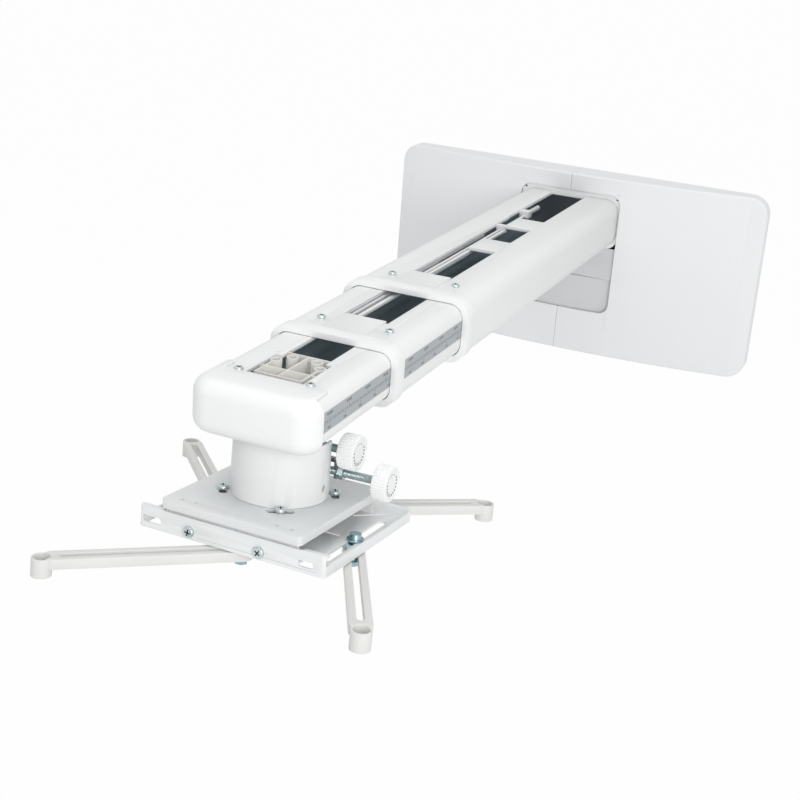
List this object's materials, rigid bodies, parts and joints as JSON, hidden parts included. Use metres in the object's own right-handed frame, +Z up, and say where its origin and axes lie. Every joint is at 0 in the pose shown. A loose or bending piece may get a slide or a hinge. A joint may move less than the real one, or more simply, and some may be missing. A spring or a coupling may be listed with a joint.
{
  "type": "projector wall mount",
  "caption": "White short-throw projector wall mount: curved wall cover, three-stage sliding arm, two-knob tilting head and four slotted legs.",
  "frame": {"origin": "centre of the wall cover's back, on the wall, at the middle of the four wall bolts", "axes": "+Y into the wall, the arm reaching out along -Y; +Z up; +X to the right for someone facing the wall"},
  "size_m": [0.4216, 0.8356, 0.202],
  "materials": {
    "white_paint": "powder coat",
    "white_plastic": "fine satin",
    "grey_plastic": "satin",
    "zinc": "zinc plated, slight blue tint",
    "plain_steel": "plain",
    "cast_warm": "die cast, warm grey",
    "cast_white": "warm white powder coat on a casting",
    "sticker": "printed film"
  },
  "bodies": {
    "wall": {"wall_plate": "plain_steel", "cover_left": "white_plastic", "cover_right": "white_plastic", "arm_flange": "white_paint", "upper_panel": "grey_plastic", "lower_panel": "grey_plastic", "outer_tube": "white_paint", "outer_collar": "white_plastic", "outer_screws": "zinc", "guide_rod": "white_plastic", "rod_ferrule": "white_plastic", "rod_clip": "white_plastic", "glide_strip": "white_plastic"},
    "middle": {"middle_tube": "white_paint", "middle_collar": "white_plastic", "middle_screws": "zinc", "middle_ruler": "sticker", "middle_strip": "white_plastic"},
    "inner": {"inner_tube": "white_paint", "inner_ruler": "sticker", "end_cap": "white_plastic", "cap_screws": "zinc", "ribbed_block": "cast_warm", "yoke": "plain_steel", "yoke_bolts": "zinc"},
    "cradle": {"gimbal_block": "plain_steel", "gimbal_pins": "plain_steel"},
    "side_screw": {"side_rod": "zinc", "side_knob": "white_plastic"},
    "tilt": {"saddle": "plain_steel", "can_cover": "white_paint", "can_screw": "white_paint", "head_screws": "zinc"},
    "tilt_cam": {"tilt_shaft": "zinc", "tilt_knob": "white_plastic"},
    "plate": {"head_plate": "white_paint", "tray": "white_paint", "tray_screws": "zinc"},
    "bolt_fl": {"bolt_fl": "zinc"},
    "leg_fl": {"leg_fl": "cast_white"},
    "bolt_rl": {"bolt_rl": "zinc"},
    "leg_rl": {"leg_rl": "cast_white"},
    "bolt_fr": {"bolt_fr": "zinc"},
    "leg_fr": {"leg_fr": "cast_white"},
    "bolt_rr": {"bolt_rr": "zinc"},
    "leg_rr": {"leg_rr": "cast_white"}
  },
  "joints": [
    {"name": "middle_slide", "type": "slide", "parent": "wall", "child": "middle", "axis": [0, -1, 0], "range_m": [-0.07, 0.15]},
    {"name": "inner_slide", "type": "slide", "parent": "middle", "child": "inner", "axis": [0, -1, 0], "range_m": [-0.036, 0.15]},
    {"name": "side_tilt", "type": "hinge", "parent": "inner", "child": "cradle", "pos_m": [0, -0.6823, 0.0085], "axis": [0, 1, 0], "range_deg": [-1, 6]},
    {"name": "side_screw_turn", "type": "hinge", "parent": "cradle", "child": "side_screw", "pos_m": [0.07322, -0.6663, -0.00362], "axis": [0.9998, 0, 0.0175], "range_deg": [-40, 240]},
    {"name": "front_tilt", "type": "hinge", "parent": "cradle", "child": "tilt", "pos_m": [0, -0.6823, 0.0085], "axis": [0.9998, 0, 0.0175], "range_deg": [-1.8, 10.2]},
    {"name": "tilt_cam_turn", "type": "hinge", "parent": "tilt", "child": "tilt_cam", "pos_m": [0.04689, -0.66973, 0.015], "axis": [0.9998, 0, 0.0175], "range_deg": [-10.8, 61.2]},
    {"name": "plate_turn", "type": "hinge", "parent": "tilt", "child": "plate", "pos_m": [0.00052, -0.68502, -0.02137], "axis": [-0.0174, 0.0906, 0.9957], "range_deg": [-6, 8]},
    {"name": "leg_fl_swing", "type": "hinge", "parent": "plate", "child": "bolt_fl", "pos_m": [0.00216, -0.73851, -0.0456], "axis": [-0.0174, 0.0906, 0.9957], "range_deg": [-15, 15]},
    {"name": "leg_fl_slide", "type": "slide", "parent": "bolt_fl", "child": "leg_fl", "axis": [-0.7406, -0.6702, 0.0481], "range_m": [-0.03, 0]},
    {"name": "leg_rl_swing", "type": "hinge", "parent": "plate", "child": "bolt_rl", "pos_m": [-0.06377, -0.65946, -0.05394], "axis": [-0.0174, 0.0906, 0.9957], "range_deg": [-15, 15]},
    {"name": "leg_rl_slide", "type": "slide", "parent": "bolt_rl", "child": "leg_rl", "axis": [-0.6666, 0.7412, -0.0791], "range_m": [-0.03, 0]},
    {"name": "leg_fr_swing", "type": "hinge", "parent": "plate", "child": "bolt_fr", "pos_m": [0.06659, -0.69496, -0.04844], "axis": [-0.0174, 0.0906, 0.9957], "range_deg": [-15, 15]},
    {"name": "leg_fr_slide", "type": "slide", "parent": "bolt_fr", "child": "leg_fr", "axis": [0.468, -0.8793, 0.0882], "range_m": [-0.03, 0]},
    {"name": "leg_rr_swing", "type": "hinge", "parent": "plate", "child": "bolt_rr", "pos_m": [0.0051, -0.63099, -0.05533], "axis": [-0.0174, 0.0906, 0.9957], "range_deg": [-15, 15]},
    {"name": "leg_rr_slide", "type": "slide", "parent": "bolt_rr", "child": "leg_rr", "axis": [0.7813, 0.6227, -0.043], "range_m": [-0.03, 0]}
  ],
  "couplings": [
    {"joint": "side_screw_turn", "follows": "side_tilt", "ratio": 40},
    {"joint": "tilt_cam_turn", "follows": "front_tilt", "ratio": 6}
  ]
}
